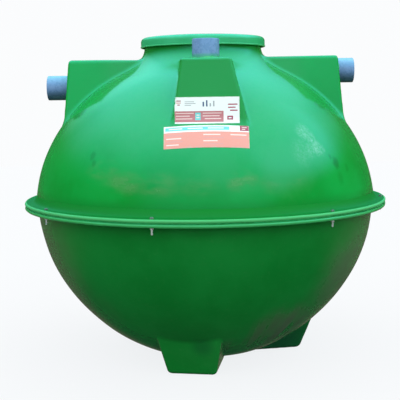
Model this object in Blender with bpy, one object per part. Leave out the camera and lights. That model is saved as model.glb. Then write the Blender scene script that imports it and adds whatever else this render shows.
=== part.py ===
"""Globe-shaped fibreglass septic tank of about two cubic metres.

Two moulded half shells are bolted together at a flange round the middle. The upper half
carries the manhole neck and four moulded pipe seats, the lower half stands on three hollow
moulded feet. Metres, +Z up, the tank's axis on Z, the floor at z = 0, the front at -Y, the
inlet at +X and the outlet at -X.
"""

import math

import bmesh
import bpy
from mathutils import Matrix, Vector

# Driving dimensions
FLANGE_RADIUS = 0.845
JOINT_HEIGHT = 0.726
FLANGE_THICK = 0.015
SEAL_THICK = 0.0034
TOUCH = 0.0003
WALL = 0.006

# Upper shell: an ellipsoid dome that flares up into the manhole neck
DOME_RADIUS = 0.7924
DOME_RISE = 0.7058
DOME_CENTRE = 0.7045
DOME_FOOT = 0.770
NECK_BLEND_RADIUS = 0.41
NECK_RADIUS = 0.272
NECK_WALL = 0.010
NECK_STRAIGHT_FROM = 1.443
NECK_RIM = 1.4809

# Lower shell: a bowl that is a little more pointed than an ellipse, with a flattened base
BOWL_RADIUS = 0.7836
BOWL_DEPTH = 0.7567
BOWL_POWER = 1.916
BOWL_CENTRE = 0.735
BOWL_TOP = 0.690
BOWL_WALL = 0.007
BASE_EDGE = 0.0428
BASE_HEIGHT = 0.027

# Pipe seats: tapered boxes moulded on the dome, each with its bearing and its top's height
SEATS = {
    "front": (0.0, 1.372),
    "inlet": (90.0, 1.393),
    "rear": (180.0, 1.386),
    "outlet": (270.0, 1.386),
}
SEAT_FACE = 0.617
SEAT_HALF_WIDTH = 0.1025
SEAT_BOTTOM = 1.000
SEAT_FACE_DRAFT = 0.086
SEAT_SIDE_DRAFT = 0.196
SEAT_INNER_END = 0.300
SEAT_EDGE = 0.016
FRONT_SEAT_SHIFT = 0.011
FRONT_SEAT_LEAN = 0.049

# Feet: hollow tapered blocks moulded on the bowl
FOOT_BEARINGS = (-9.0, 101.0, 226.0)
FOOT_OUTER = 0.438
FOOT_INNER = 0.200
FOOT_HALF_WIDTH = 0.108
FOOT_TOP = 0.215
FOOT_FACE_DRAFT = 0.362
FOOT_SIDE_DRAFT = 0.200
FOOT_EDGE = 0.018
FOOT_SOLE = 0.008

# Manhole lid: a pressed cap whose skirt hangs round the neck
LID_RADIUS = 0.289
LID_LIP = 0.0025
LID_SKIRT_BOTTOM = 1.441
LID_EDGE_TOP = 1.4872
LID_CROWN = 1.4985

# Plastic pipe, four inch nominal
PIPE_RADIUS = 0.057
PIPE_WALL = 0.0043
INLET_HEIGHT = 1.328
INLET_END = 0.7014
OUTLET_HEIGHT = 1.2635
OUTLET_END = -0.730
PIPE_INNER_END = 0.560
VENT_X = 0.0115
VENT_Y = -0.465
VENT_TOP = 1.453
VENT_BOTTOM = 1.330

# Flange bolts, M8, at the bearings where they were drilled
BOLT_BEARINGS = (-55.5, -14.7, 39.0, 82.0, 127.0, 170.0, 214.0, 259.0)
BOLT_CIRCLE = 0.822
BOLT_RADIUS = 0.004
BOLT_HOLE_RADIUS = 0.005
HEAD_CORNER_RADIUS = 0.0075
HEAD_HEIGHT = 0.0053
NUT_HEIGHT = 0.0065
BOLT_END = 0.680

# Facets, and the distance below which points are one
MERGE = 0.00002
SHELL_STEPS = 64
LID_STEPS = 64
PIPE_STEPS = 32
BOLT_STEPS = 12


def clear_scene():
    for obj in list(bpy.data.objects):
        bpy.data.objects.remove(obj, do_unlink=True)


def make_material(name, colour, roughness, metallic=0.0):
    material = bpy.data.materials.new(name)
    material.use_nodes = True
    shader = material.node_tree.nodes["Principled BSDF"]
    shader.inputs["Base Color"].default_value = (*colour, 1.0)
    shader.inputs["Roughness"].default_value = roughness
    shader.inputs["Metallic"].default_value = metallic
    material.diffuse_color = (*colour, 1.0)
    return material


def add_object(name, bm, material=None):
    """Turn a bmesh into an object whose faces point outwards."""
    bmesh.ops.remove_doubles(bm, verts=bm.verts, dist=1e-6)
    bmesh.ops.recalc_face_normals(bm, faces=bm.faces)
    mesh = bpy.data.meshes.new(name)
    bm.to_mesh(mesh)
    bm.free()
    obj = bpy.data.objects.new(name, mesh)
    bpy.context.scene.collection.objects.link(obj)
    if material:
        mesh.materials.append(material)
        mesh.shade_smooth()
        mesh.set_sharp_from_angle(angle=math.radians(40))
    else:
        obj.hide_render = True
        obj.display_type = "WIRE"
    return obj


def lathe(profile, steps):
    """Spin an outline of (radius, height) points about Z; an outline off the axis is closed."""
    bm = bmesh.new()
    verts = [bm.verts.new((radius, 0.0, height)) for radius, height in profile]
    edges = [bm.edges.new(pair) for pair in zip(verts, verts[1:])]
    if min(radius for radius, _ in profile) > 0.0:
        edges.append(bm.edges.new((verts[-1], verts[0])))
    bmesh.ops.spin(
        bm,
        geom=verts + edges,
        axis=(0.0, 0.0, 1.0),
        cent=(0.0, 0.0, 0.0),
        angle=math.tau,
        steps=steps,
        use_merge=True,
    )
    return bm


def tapered_box(bottom, top, bottom_height, top_height):
    """A box between two rectangles, each (low x, high x, low y, high y)."""
    bm = bmesh.new()
    rings = []
    for (low_x, high_x, low_y, high_y), height in ((bottom, bottom_height), (top, top_height)):
        corners = ((low_x, low_y), (high_x, low_y), (high_x, high_y), (low_x, high_y))
        rings.append([bm.verts.new((x, y, height)) for x, y in corners])
    bm.faces.new(rings[0])
    bm.faces.new(rings[1])
    for i in range(4):
        j = (i + 1) % 4
        bm.faces.new((rings[0][i], rings[0][j], rings[1][j], rings[1][i]))
    return bm


def turn_to(obj, bearing):
    """Turn a piece built towards +X so that it points to a bearing counted from the front."""
    obj.rotation_euler.z = math.radians(bearing - 90.0)


def round_edges(obj, width):
    bevel = obj.modifiers.new("rounding", "BEVEL")
    bevel.width = width
    bevel.segments = 2
    bevel.limit_method = "ANGLE"
    bevel.angle_limit = math.radians(30)


def combine(obj, other, operation):
    cut = obj.modifiers.new(other.name, "BOOLEAN")
    cut.operation = operation
    cut.solver = "EXACT"
    cut.object = other


def merge_close_points(obj):
    weld = obj.modifiers.new("weld", "WELD")
    weld.merge_threshold = MERGE


def dome_radius(height, inset=0.0):
    rise = (height - DOME_CENTRE) / (DOME_RISE - inset)
    return (DOME_RADIUS - inset) * math.sqrt(1.0 - rise * rise)


def dome_height(radius, inset=0.0):
    reach = radius / (DOME_RADIUS - inset)
    return DOME_CENTRE + (DOME_RISE - inset) * math.sqrt(1.0 - reach * reach)


def dome_arc(start_height, end_radius, inset, count):
    """Points up the dome, evenly spaced by angle, from a height to a radius."""
    start = math.asin((start_height - DOME_CENTRE) / (DOME_RISE - inset))
    end = math.acos(end_radius / (DOME_RADIUS - inset))
    points = []
    for i in range(count + 1):
        angle = start + (end - start) * i / count
        points.append((
            (DOME_RADIUS - inset) * math.cos(angle),
            DOME_CENTRE + (DOME_RISE - inset) * math.sin(angle),
        ))
    return points


def neck_flare(end_radius, inset, count):
    """The hollow curve from the dome up into the upright neck, without its first point."""
    start = Vector((NECK_BLEND_RADIUS, dome_height(NECK_BLEND_RADIUS, inset)))
    reach = NECK_BLEND_RADIUS / (DOME_RADIUS - inset)
    slope = -(DOME_RISE - inset) / (DOME_RADIUS - inset) * reach / math.sqrt(1.0 - reach * reach)
    knee_radius = end_radius + 0.014
    knee = Vector((knee_radius, start.y + slope * (knee_radius - start.x)))
    end = Vector((end_radius, NECK_STRAIGHT_FROM))
    points = []
    for i in range(1, count + 1):
        t = i / count
        spot = (1 - t) ** 2 * start + 2 * t * (1 - t) * knee + t ** 2 * end
        points.append((spot.x, spot.y))
    return points


def bowl_arc(inset, start_height, end_height, count):
    """Points down the bowl, evenly spaced by angle, from one height to another."""
    radius = BOWL_RADIUS - inset
    depth = BOWL_DEPTH - inset
    power = 2.0 / BOWL_POWER
    start = math.asin(((BOWL_CENTRE - start_height) / depth) ** (1.0 / power))
    end = math.asin(((BOWL_CENTRE - end_height) / depth) ** (1.0 / power))
    points = []
    for i in range(count + 1):
        angle = start + (end - start) * i / count
        points.append((
            radius * math.cos(angle) ** power,
            BOWL_CENTRE - depth * math.sin(angle) ** power,
        ))
    return points


def flange_underside():
    """Height of the upper flange's underside."""
    return JOINT_HEIGHT + SEAL_THICK / 2 + TOUCH


def flange_topside():
    """Height of the lower flange's top side."""
    return JOINT_HEIGHT - SEAL_THICK / 2 - TOUCH


def seat_box(side, inset):
    """A pipe seat pointing to +X; the inset one is the hollow inside it."""
    seat_top = SEATS[side][1]
    shift = FRONT_SEAT_SHIFT if side == "front" else 0.0
    lean = FRONT_SEAT_LEAN if side == "front" else 0.0
    inner = SEAT_INNER_END if inset else SEAT_INNER_END - 0.08
    height = seat_top - SEAT_BOTTOM
    rectangles = []
    for drop in (height, 0.0):
        rectangles.append((
            inner,
            SEAT_FACE - inset + drop * SEAT_FACE_DRAFT,
            shift - SEAT_HALF_WIDTH + inset - drop * (SEAT_SIDE_DRAFT - lean),
            shift + SEAT_HALF_WIDTH - inset + drop * (SEAT_SIDE_DRAFT + lean),
        ))
    return tapered_box(*rectangles, SEAT_BOTTOM + inset, seat_top - inset)


def foot_box(inset, sole):
    """A foot pointing to +X; the inset one is the hollow inside it."""
    rectangles = []
    for height in (sole, FOOT_TOP):
        half_width = FOOT_HALF_WIDTH - inset + height * FOOT_SIDE_DRAFT
        rectangles.append((
            FOOT_INNER + inset - height * FOOT_SIDE_DRAFT,
            FOOT_OUTER - inset + height * FOOT_FACE_DRAFT,
            -half_width,
            half_width,
        ))
    return tapered_box(*rectangles, sole, FOOT_TOP)


def drill_bolt_holes(obj):
    """Cut the eight bolt holes of the flange through a piece."""
    bm = bmesh.new()
    for bearing in BOLT_BEARINGS:
        place = Matrix.Translation(bolt_point(bearing, JOINT_HEIGHT))
        bmesh.ops.create_cone(
            bm,
            cap_ends=True,
            segments=BOLT_STEPS,
            radius1=BOLT_HOLE_RADIUS,
            radius2=BOLT_HOLE_RADIUS,
            depth=4 * FLANGE_THICK,
            matrix=place,
        )
    drill = add_object(obj.name + "_drill", bm)
    combine(obj, drill, "DIFFERENCE")


def bolt_point(bearing, height):
    angle = math.radians(bearing)
    return Vector((BOLT_CIRCLE * math.sin(angle), -BOLT_CIRCLE * math.cos(angle), height))


def bore_along_x(name, height, start, end):
    """A cutter for a pipe hole through a seat's face."""
    bm = bmesh.new()
    turn = Matrix.Rotation(math.pi / 2, 4, "Y")
    bmesh.ops.create_cone(
        bm,
        cap_ends=True,
        segments=PIPE_STEPS,
        radius1=PIPE_RADIUS + TOUCH,
        radius2=PIPE_RADIUS + TOUCH,
        depth=abs(end - start),
        matrix=Matrix.Translation(((start + end) / 2, 0.0, height)) @ turn,
    )
    return add_object(name, bm)


def make_upper_shell(material):
    """The dome with its flange, manhole neck and four pipe seats, one hollow moulding."""
    low = flange_underside()
    top = low + FLANGE_THICK
    chamfer = 0.005
    outline = [
        (0.0, low),
        (FLANGE_RADIUS, low),
        (FLANGE_RADIUS, top - chamfer),
        (FLANGE_RADIUS - chamfer, top),
        (DOME_RADIUS + 0.020, top),
        (DOME_RADIUS + 0.005, top + 0.0045),
        (DOME_RADIUS - 0.001, top + 0.0140),
    ]
    outline += dome_arc(DOME_FOOT, NECK_BLEND_RADIUS, 0.0, 12)
    outline += neck_flare(NECK_RADIUS, 0.0, 5)
    outline += [(NECK_RADIUS, NECK_RIM), (0.0, NECK_RIM)]
    shell = add_object("upper_shell", lathe(outline, SHELL_STEPS), material)

    inner_start = dome_radius(low + 0.002, WALL)
    hollow_outline = [(0.0, low - 0.01), (inner_start, low - 0.01)]
    hollow_outline += dome_arc(low + 0.002, NECK_BLEND_RADIUS, WALL, 12)
    hollow_outline += neck_flare(NECK_RADIUS - NECK_WALL, WALL, 5)
    hollow_outline += [(NECK_RADIUS - NECK_WALL, NECK_RIM + 0.02), (0.0, NECK_RIM + 0.02)]
    hollow = add_object("upper_hollow", lathe(hollow_outline, SHELL_STEPS))

    for side, (bearing, _) in SEATS.items():
        seat = add_object(side + "_seat", seat_box(side, 0.0))
        turn_to(seat, bearing)
        round_edges(seat, SEAT_EDGE)
        inside = add_object(side + "_seat_hollow", seat_box(side, WALL))
        turn_to(inside, bearing)
        round_edges(inside, SEAT_EDGE - WALL)
        combine(shell, seat, "UNION")
        combine(hollow, inside, "UNION")
    combine(shell, hollow, "DIFFERENCE")

    reach = SEAT_FACE + 0.08
    combine(shell, bore_along_x("inlet_bore", INLET_HEIGHT, SEAT_FACE - 0.06, reach), "DIFFERENCE")
    combine(shell, bore_along_x("outlet_bore", OUTLET_HEIGHT, 0.06 - SEAT_FACE, -reach), "DIFFERENCE")
    bm = bmesh.new()
    bmesh.ops.create_cone(
        bm,
        cap_ends=True,
        segments=PIPE_STEPS,
        radius1=PIPE_RADIUS + TOUCH,
        radius2=PIPE_RADIUS + TOUCH,
        depth=0.08,
        matrix=Matrix.Translation((VENT_X, VENT_Y, SEATS["front"][1])),
    )
    combine(shell, add_object("vent_bore", bm), "DIFFERENCE")
    merge_close_points(shell)
    drill_bolt_holes(shell)


def make_lower_shell(material):
    """The bowl with its flange and three hollow feet, one hollow moulding."""
    top = flange_topside()
    low = top - FLANGE_THICK
    chamfer = 0.005
    outline = [
        (0.0, top),
        (FLANGE_RADIUS, top),
        (FLANGE_RADIUS, low + chamfer),
        (FLANGE_RADIUS - chamfer, low),
        (BOWL_RADIUS + 0.016, low),
        (BOWL_RADIUS + 0.004, low - 0.006),
    ]
    outline += bowl_arc(0.0, BOWL_TOP, BASE_EDGE, 14)
    outline += [(0.262, 0.0335), (0.210, 0.0285), (0.0, BASE_HEIGHT)]
    shell = add_object("lower_shell", lathe(outline, SHELL_STEPS), material)

    hollow_outline = [(0.0, top + 0.01), (BOWL_RADIUS - BOWL_WALL, top + 0.01)]
    hollow_outline += bowl_arc(BOWL_WALL, top - 0.002, BASE_EDGE + BOWL_WALL, 14)
    hollow_outline += [
        (0.262, 0.0335 + BOWL_WALL),
        (0.210, 0.0285 + BOWL_WALL),
        (0.0, BASE_HEIGHT + BOWL_WALL),
    ]
    hollow = add_object("lower_hollow", lathe(hollow_outline, SHELL_STEPS))

    for number, bearing in enumerate(FOOT_BEARINGS, 1):
        foot = add_object(f"foot_{number}", foot_box(0.0, 0.0))
        turn_to(foot, bearing)
        round_edges(foot, FOOT_EDGE)
        inside = add_object(f"foot_hollow_{number}", foot_box(BOWL_WALL, FOOT_SOLE))
        turn_to(inside, bearing)
        round_edges(inside, FOOT_EDGE - BOWL_WALL)
        combine(shell, foot, "UNION")
        combine(hollow, inside, "UNION")
    combine(shell, hollow, "DIFFERENCE")
    merge_close_points(shell)
    drill_bolt_holes(shell)


def make_joint_seal(material):
    """The sealing strip between the flanges, set back from their edge."""
    inner = DOME_RADIUS + 0.003
    outer = FLANGE_RADIUS - 0.010
    low = JOINT_HEIGHT - SEAL_THICK / 2
    high = JOINT_HEIGHT + SEAL_THICK / 2
    outline = [(inner, low), (outer, low), (outer, high), (inner, high)]
    seal = add_object("joint_seal", lathe(outline, SHELL_STEPS), material)
    drill_bolt_holes(seal)


def make_manhole_lid(material):
    """A cap with a low crown, a rounded edge and a skirt with a turned-out lip."""
    wall = WALL
    skirt = LID_RADIUS - wall
    seat = NECK_RIM + TOUCH
    outline = [
        (0.0, LID_CROWN),
        (0.120, LID_CROWN - 0.0022),
        (0.220, LID_EDGE_TOP + 0.0022),
        (NECK_RADIUS - 0.004, LID_EDGE_TOP - 0.0010),
        (LID_RADIUS - 0.0085, LID_EDGE_TOP - 0.0050),
        (LID_RADIUS - 0.0025, LID_EDGE_TOP - 0.0120),
        (LID_RADIUS, LID_EDGE_TOP - 0.0210),
        (LID_RADIUS, LID_SKIRT_BOTTOM + 0.0080),
        (LID_RADIUS + LID_LIP, LID_SKIRT_BOTTOM + 0.0050),
        (LID_RADIUS + LID_LIP, LID_SKIRT_BOTTOM),
        (skirt, LID_SKIRT_BOTTOM),
        (skirt, seat - 0.010),
        (skirt - 0.007, seat),
        (NECK_RADIUS - NECK_WALL - 0.010, seat),
        (0.120, LID_CROWN - 0.0022 - wall),
        (0.0, LID_CROWN - wall),
    ]
    add_object("manhole_lid", lathe(outline, LID_STEPS), material)


def make_pipe(name, length, material):
    """An open plastic pipe along +Z from its origin."""
    inner = PIPE_RADIUS - PIPE_WALL
    outline = [(PIPE_RADIUS, 0.0), (PIPE_RADIUS, length), (inner, length), (inner, 0.0)]
    return add_object(name, lathe(outline, PIPE_STEPS), material)


def make_pipes(material):
    inlet = make_pipe("inlet_pipe", INLET_END - PIPE_INNER_END, material)
    inlet.location = (PIPE_INNER_END, 0.0, INLET_HEIGHT)
    inlet.rotation_euler.y = math.pi / 2
    outlet = make_pipe("outlet_pipe", -PIPE_INNER_END - OUTLET_END, material)
    outlet.location = (-PIPE_INNER_END, 0.0, OUTLET_HEIGHT)
    outlet.rotation_euler.y = -math.pi / 2
    vent = make_pipe("vent_pipe", VENT_TOP - VENT_BOTTOM, material)
    vent.location = (VENT_X, VENT_Y, VENT_BOTTOM)


def hexagon_ring(corner_radius):
    """Twelve points round a hexagon: its corners and the middles of its sides."""
    flat_radius = corner_radius * math.cos(math.pi / 6)
    points = []
    for i in range(BOLT_STEPS):
        angle = math.tau * i / BOLT_STEPS
        radius = flat_radius if i % 2 else corner_radius
        points.append((radius * math.cos(angle), radius * math.sin(angle)))
    return points


def circle_ring(radius):
    angles = [math.tau * i / BOLT_STEPS for i in range(BOLT_STEPS)]
    return [(radius * math.cos(angle), radius * math.sin(angle)) for angle in angles]


def skin_rings(rings, closed):
    """Join rings of (points, height) by quads; an open stack gets a face on each end."""
    bm = bmesh.new()
    loops = [[bm.verts.new((x, y, height)) for x, y in points] for points, height in rings]
    pairs = list(zip(loops, loops[1:]))
    if closed:
        pairs.append((loops[-1], loops[0]))
    else:
        bm.faces.new(loops[0])
        bm.faces.new(loops[-1])
    for lower, upper in pairs:
        for i in range(BOLT_STEPS):
            j = (i + 1) % BOLT_STEPS
            bm.faces.new((lower[i], lower[j], upper[j], upper[i]))
    return bm


def make_bolts(material):
    """A hexagon bolt down through both flanges and a nut below, at each bearing."""
    seat = flange_underside() + FLANGE_THICK + TOUCH
    nut_top = flange_topside() - FLANGE_THICK - TOUCH
    head = hexagon_ring(HEAD_CORNER_RADIUS)
    shank = circle_ring(BOLT_RADIUS)
    thread = circle_ring(BOLT_RADIUS + TOUCH)
    bolt_rings = [
        (head, seat + HEAD_HEIGHT),
        (head, seat),
        (shank, seat),
        (shank, BOLT_END),
    ]
    nut_rings = [
        (head, nut_top - NUT_HEIGHT),
        (head, nut_top),
        (thread, nut_top),
        (thread, nut_top - NUT_HEIGHT),
    ]
    for number, bearing in enumerate(BOLT_BEARINGS, 1):
        bolt = add_object(f"flange_bolt_{number}", skin_rings(bolt_rings, False), material)
        nut = add_object(f"flange_nut_{number}", skin_rings(nut_rings, True), material)
        for piece in (bolt, nut):
            piece.location = bolt_point(bearing, 0.0)
            piece.rotation_euler.z = math.radians(bearing)


def build():
    clear_scene()
    dome_green = make_material("dome_gelcoat", (0.035, 0.36, 0.14), 0.22)
    bowl_green = make_material("bowl_gelcoat", (0.020, 0.20, 0.08), 0.35)
    lid_green = make_material("lid_gelcoat", (0.045, 0.40, 0.18), 0.30)
    pvc_blue = make_material("pvc_blue", (0.12, 0.25, 0.48), 0.40)
    seal_black = make_material("seal_sealant", (0.03, 0.05, 0.035), 0.80)
    bolt_zinc = make_material("bolt_zinc", (0.50, 0.52, 0.50), 0.45, 0.9)
    make_upper_shell(dome_green)
    make_lower_shell(bowl_green)
    make_joint_seal(seal_black)
    make_manhole_lid(lid_green)
    make_pipes(pvc_blue)
    make_bolts(bolt_zinc)


build()
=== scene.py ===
"""The looks of a globe-shaped fibreglass septic tank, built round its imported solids.

Each moulding is a surface found from a formula of its outside and its inside, with rounded
corners and fillets that the solids leave plain. Metres, +Z up, the front at -Y.
"""

import math

import bmesh
import bpy
import numpy as np
from mathutils import Matrix, Vector


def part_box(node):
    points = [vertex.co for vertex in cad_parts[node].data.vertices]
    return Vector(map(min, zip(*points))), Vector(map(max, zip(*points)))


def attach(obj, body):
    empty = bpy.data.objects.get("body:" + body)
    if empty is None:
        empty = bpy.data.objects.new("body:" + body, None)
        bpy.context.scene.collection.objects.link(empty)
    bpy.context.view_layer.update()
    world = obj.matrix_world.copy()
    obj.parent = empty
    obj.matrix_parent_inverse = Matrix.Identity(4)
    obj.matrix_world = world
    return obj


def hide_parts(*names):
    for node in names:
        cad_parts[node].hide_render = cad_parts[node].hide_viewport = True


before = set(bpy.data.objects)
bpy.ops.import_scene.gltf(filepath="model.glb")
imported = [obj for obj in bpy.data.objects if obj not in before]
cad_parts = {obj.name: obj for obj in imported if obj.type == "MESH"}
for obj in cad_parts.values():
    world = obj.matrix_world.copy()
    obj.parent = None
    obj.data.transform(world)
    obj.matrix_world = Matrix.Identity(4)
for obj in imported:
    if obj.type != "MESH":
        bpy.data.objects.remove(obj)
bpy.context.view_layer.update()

# Camera, found from the outline of the tank
IMAGE_SIDE = 400
FOCAL_PIXELS = 885.71
CAMERA_SPOT = (0.0, -4.2071, 1.2088)
CAMERA_YAW = -0.00566
CAMERA_PITCH = 0.11485
CAMERA_ROLL = -0.01437
SENSOR_MM = 36.0

# Upper moulding
WALL = 0.006
DOME_RADIUS = 0.7924
DOME_RISE = 0.7058
DOME_CENTRE = 0.7045
NECK_RADIUS = 0.272
NECK_WALL = 0.010
NECK_RIM = 1.4809
FLARE_UP_NECK = 0.071
FLARE_OUT_DOME = 0.138

# Pipe seats: bearing from the front and height of the top
SEATS = {
    "front": (0.0, 1.372),
    "inlet": (90.0, 1.393),
    "rear": (180.0, 1.386),
    "outlet": (270.0, 1.386),
}
FRONT_TOP = SEATS["front"][1]
SEAT_FACE = 0.617
SEAT_HALF_WIDTH = 0.1025
SEAT_FACE_DRAFT = 0.086
SEAT_SIDE_DRAFT = 0.196
SEAT_INNER_END = 0.150
SEAT_EDGE = 0.012
SEAT_FILLET = 0.015
FRONT_SEAT_SHIFT = 0.011
FRONT_SEAT_LEAN = 0.049
BORE_GAP = 0.0003
SIDE_BORE = (SEAT_FACE - 0.06, SEAT_FACE + 0.08)
VENT_BORE = (FRONT_TOP - 0.04, FRONT_TOP + 0.04)

# Lower moulding
BOWL_RADIUS = 0.7836
BOWL_DEPTH = 0.7567
BOWL_POWER = 1.916
BOWL_CENTRE = 0.735
BOWL_WALL = 0.007
BASE_HEIGHT = 0.0275
BASE_BLEND = 0.016
FOOT_BEARINGS = (-9.0, 101.0, 226.0)
FOOT_OUTER = 0.438
FOOT_INNER = 0.200
FOOT_HALF_WIDTH = 0.108
FOOT_FACE_DRAFT = 0.362
FOOT_SIDE_DRAFT = 0.200
FOOT_EDGE = 0.018
FOOT_FILLET = 0.006
FOOT_SOLE = 0.008

# Flange: a flat slab with a rolled edge
FLANGE_THICK = 0.015
UPPER_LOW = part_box("upper_shell")[0].z
UPPER_TOP = UPPER_LOW + FLANGE_THICK
LOWER_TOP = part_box("lower_shell")[1].z
LOWER_LOW = LOWER_TOP - FLANGE_THICK
FLANGE_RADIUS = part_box("upper_shell")[1].x
SLAB_RADIUS = 0.834
SLAB_EDGE = 0.002
LIP_INNER_RADIUS = 0.775
ROLL_RADIUS = 0.0078
ROOT_FILLET = 0.016
ROOT_SPREAD = 0.021
ROOT_RISE = 0.032
WOBBLE_FROM = 0.825
WOBBLE_IN = 0.0009
WOBBLE_UP = 0.0003
LIP_STEPS = 384

# How far a surface runs on past the cut that ends it, a drill past what it drills and a cut past both
OUTER_MARGIN = 0.023
INNER_MARGIN = 0.038
RIM_MARGIN = 0.020
DRILL_MARGIN = 0.020
CUT_DEPTH = 0.1
CUT_LAP = 0.002

# How far the grids of cells reach past the mouldings, and those of the hollows
GRID_MARGIN = 0.04
HOLLOW_MARGIN = 0.07
FLOOR_MARGIN = 0.03

# Sealing strip: inner radius, outer radius and the radius of its bulge
SEAL_INNER = 0.7954
SEAL_OUTER = 0.8385
SEAL_BULGE = 0.8405

# Lid
LID_RADIUS = 0.289
LID_WALL = 0.006
LID_SKIRT_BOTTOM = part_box("manhole_lid")[0].z
LID_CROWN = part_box("manhole_lid")[1].z
LID_STEPS = 256

# Pipes
PIPE_RADIUS = 0.057
PIPE_WALL = 0.0043
PIPE_STEPS = 96
INLET_HEIGHT = 1.328
OUTLET_HEIGHT = 1.2635
VENT_X = 0.0115
VENT_Y = -0.465

# Bolts, M8
BOLT_BEARINGS = (-55.5, -14.7, 39.0, 82.0, 127.0, 170.0, 214.0, 259.0)
BOLT_CIRCLE = 0.822
BOLT_HOLE_RADIUS = 0.005
BOLT_RADIUS = 0.004
THREAD_PITCH = 0.00125
THREAD_DEPTH = 0.00068
STEPS_PER_TURN = 8
HEX_CORNER_RADIUS = 0.0075
HEAD_HEIGHT = 0.0053
NUT_HEIGHT = 0.0065
WASHER_RADIUS = 0.0086
WASHER_THICK = 0.0014
BOLT_STEPS = 48

# Cells of the surface meshes
CELL = 0.0094
INNER_CELL = 0.016

# Printed films on the front: left, right, top and bottom of each on its projection towards +Y
SHEET_BOX = (-0.1165, 0.1435, 1.212, 1.106)
BANNER_BOX = (-0.161, 0.180, 1.100, 1.014)
BANNER_ARCH = 0.007
FILM_PROUD = 0.0008
FILM_SUNK = 0.0003
FILM_COLUMNS = 80
FILM_ROWS = 32

# Resin fillet round the pipes
BEAD_SIZE = 0.007
BEAD_SUNK = 0.003
BEAD_STEPS = 96

# Colours of the gelcoat and of what lies on it, with painted shade and painted highlights among them
DOME_DEEP = (0.0010, 0.262, 0.028)
DOME_FRESH = (0.0020, 0.315, 0.044)
# Paler gelcoat higher up: chalky bloom and a painted sky reflection
DOME_BLOOM_AND_SHEEN = (0.017, 0.297, 0.058)
# The bowl's gelcoat is the dome's, painted darker as the shade of the underside
BOWL_SHADED_DEEP = (0.0015, 0.165, 0.020)
BOWL_SHADED_FRESH = (0.0040, 0.195, 0.028)
LID_DEEP = (0.020, 0.370, 0.140)
LID_FRESH = (0.034, 0.430, 0.190)
# Paler lips: worn edges that also carry a painted highlight
LIP_WEAR_AND_HIGHLIGHT = (0.044, 0.400, 0.115)
# Dirt and painted shade in the crease above the flange
FLANGE_DIRT_AND_SHADE = (0.003, 0.225, 0.028)
MUD = (0.085, 0.105, 0.075)
BROWN_STAIN = (0.090, 0.255, 0.062)
DARK_SPOT = (0.001, 0.165, 0.010)
SCUFF_PALE = (0.22, 0.52, 0.38)
NECK_SHADE = (0.001, 0.150, 0.012)
# Darker still at the foot of that crease: dirt and painted shade
CREASE_DIRT_AND_SHADE = (0.004, 0.135, 0.022)
# Painted shade on the feet under the bowl
FOOT_SHADE = (0.004, 0.050, 0.022)
DOME_DUST = (0.22, 0.34, 0.22)
BOWL_DUST = (0.10, 0.22, 0.10)
LID_DUST = (0.30, 0.42, 0.30)

# Colours of the other materials, where there are two a dark and a light one
LAMINATE_COLOURS = ((0.030, 0.17, 0.055), (0.055, 0.24, 0.085))
STRAND = (0.20, 0.42, 0.22)
RESIN_COLOURS = ((0.020, 0.34, 0.085), (0.055, 0.46, 0.16))
RESIN_SMEAR = (0.035, 0.330, 0.200)
PLASTIC_COLOURS = ((0.115, 0.235, 0.455), (0.150, 0.285, 0.540))
SCRATCH = (0.30, 0.42, 0.52)
PIPE_DUST = (0.26, 0.50, 0.66)
# Painted shade on the pipes' undersides
PIPE_UNDERSIDE_SHADE = (0.020, 0.055, 0.070)
SEALANT_COLOURS = ((0.004, 0.36, 0.090), (0.012, 0.46, 0.140))
ZINC_COLOURS = ((0.46, 0.49, 0.48), (0.78, 0.81, 0.80))
BOLT_DIRT = (0.045, 0.085, 0.045)
FILM_WORN = (0.42, 0.58, 0.46)

# Marks: bearing from the front in degrees, height, radius and strength
BROWN_MARKS = (
    (-24.5, 0.872, 0.130, 0.85), (-14.0, 0.868, 0.130, 0.75), (-33.0, 0.920, 0.110, 0.60),
    (-2.0, 0.862, 0.110, 0.45), (11.0, 0.880, 0.100, 1.00), (28.6, 0.866, 0.070, 1.00),
    (19.0, 0.868, 0.090, 0.45), (141.0, 0.880, 0.130, 0.70), (-152.0, 0.895, 0.120, 0.60),
    (95.0, 0.870, 0.100, 0.60),
)
DARK_MARKS = (
    (-39.0, 0.978, 0.022, 0.55), (-37.6, 0.950, 0.018, 0.50), (47.0, 0.930, 0.028, 1.00),
    (44.8, 0.957, 0.014, 0.60), (52.5, 0.905, 0.020, 0.50), (47.5, 0.868, 0.030, 0.40),
    (124.0, 1.020, 0.022, 0.50), (-118.0, 0.930, 0.018, 0.60),
)
# Spots of chalky bloom that also paint the sky's reflection further down
BLOOM_AND_SHEEN_SPOTS = (
    (3.0, 0.955, 0.170, 0.50), (26.0, 0.965, 0.190, 0.90), (38.0, 1.000, 0.150, 0.70),
    (10.0, 0.880, 0.110, 0.30), (158.0, 0.930, 0.260, 0.70), (-128.0, 0.960, 0.200, 0.50),
)
SCUFFS = (
    (36.8, 1.062, 0.050, 0.8), (38.8, 1.040, 0.040, 0.9), (39.6, 1.003, 0.046, 1.0),
    (36.4, 0.990, 0.040, 0.6), (41.5, 0.990, 0.035, 0.6), (33.0, 0.985, 0.070, 0.35),
    (-160.0, 1.060, 0.080, 0.70), (-95.0, 0.950, 0.060, 0.50),
)
WIPED = ((36.0, 0.195, 0.240, 0.80), (16.0, 0.130, 0.130, 0.35), (-150.0, 0.300, 0.250, 0.50))
# Spots of painted shade on the feet under the bowl
FOOT_SHADE_SPOTS = ((101.0, 0.060, 0.330, 0.95), (-2.0, 0.150, 0.070, 0.35), (226.0, 0.060, 0.240, 0.60))
MUDDY = (
    (62.0, 0.430, 0.330, 0.55), (-66.0, 0.430, 0.340, 0.42), (-48.0, 0.290, 0.180, 0.15),
    (50.0, 0.300, 0.180, 0.25), (172.0, 0.350, 0.300, 0.40), (-112.0, 0.300, 0.260, 0.45),
)

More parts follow.
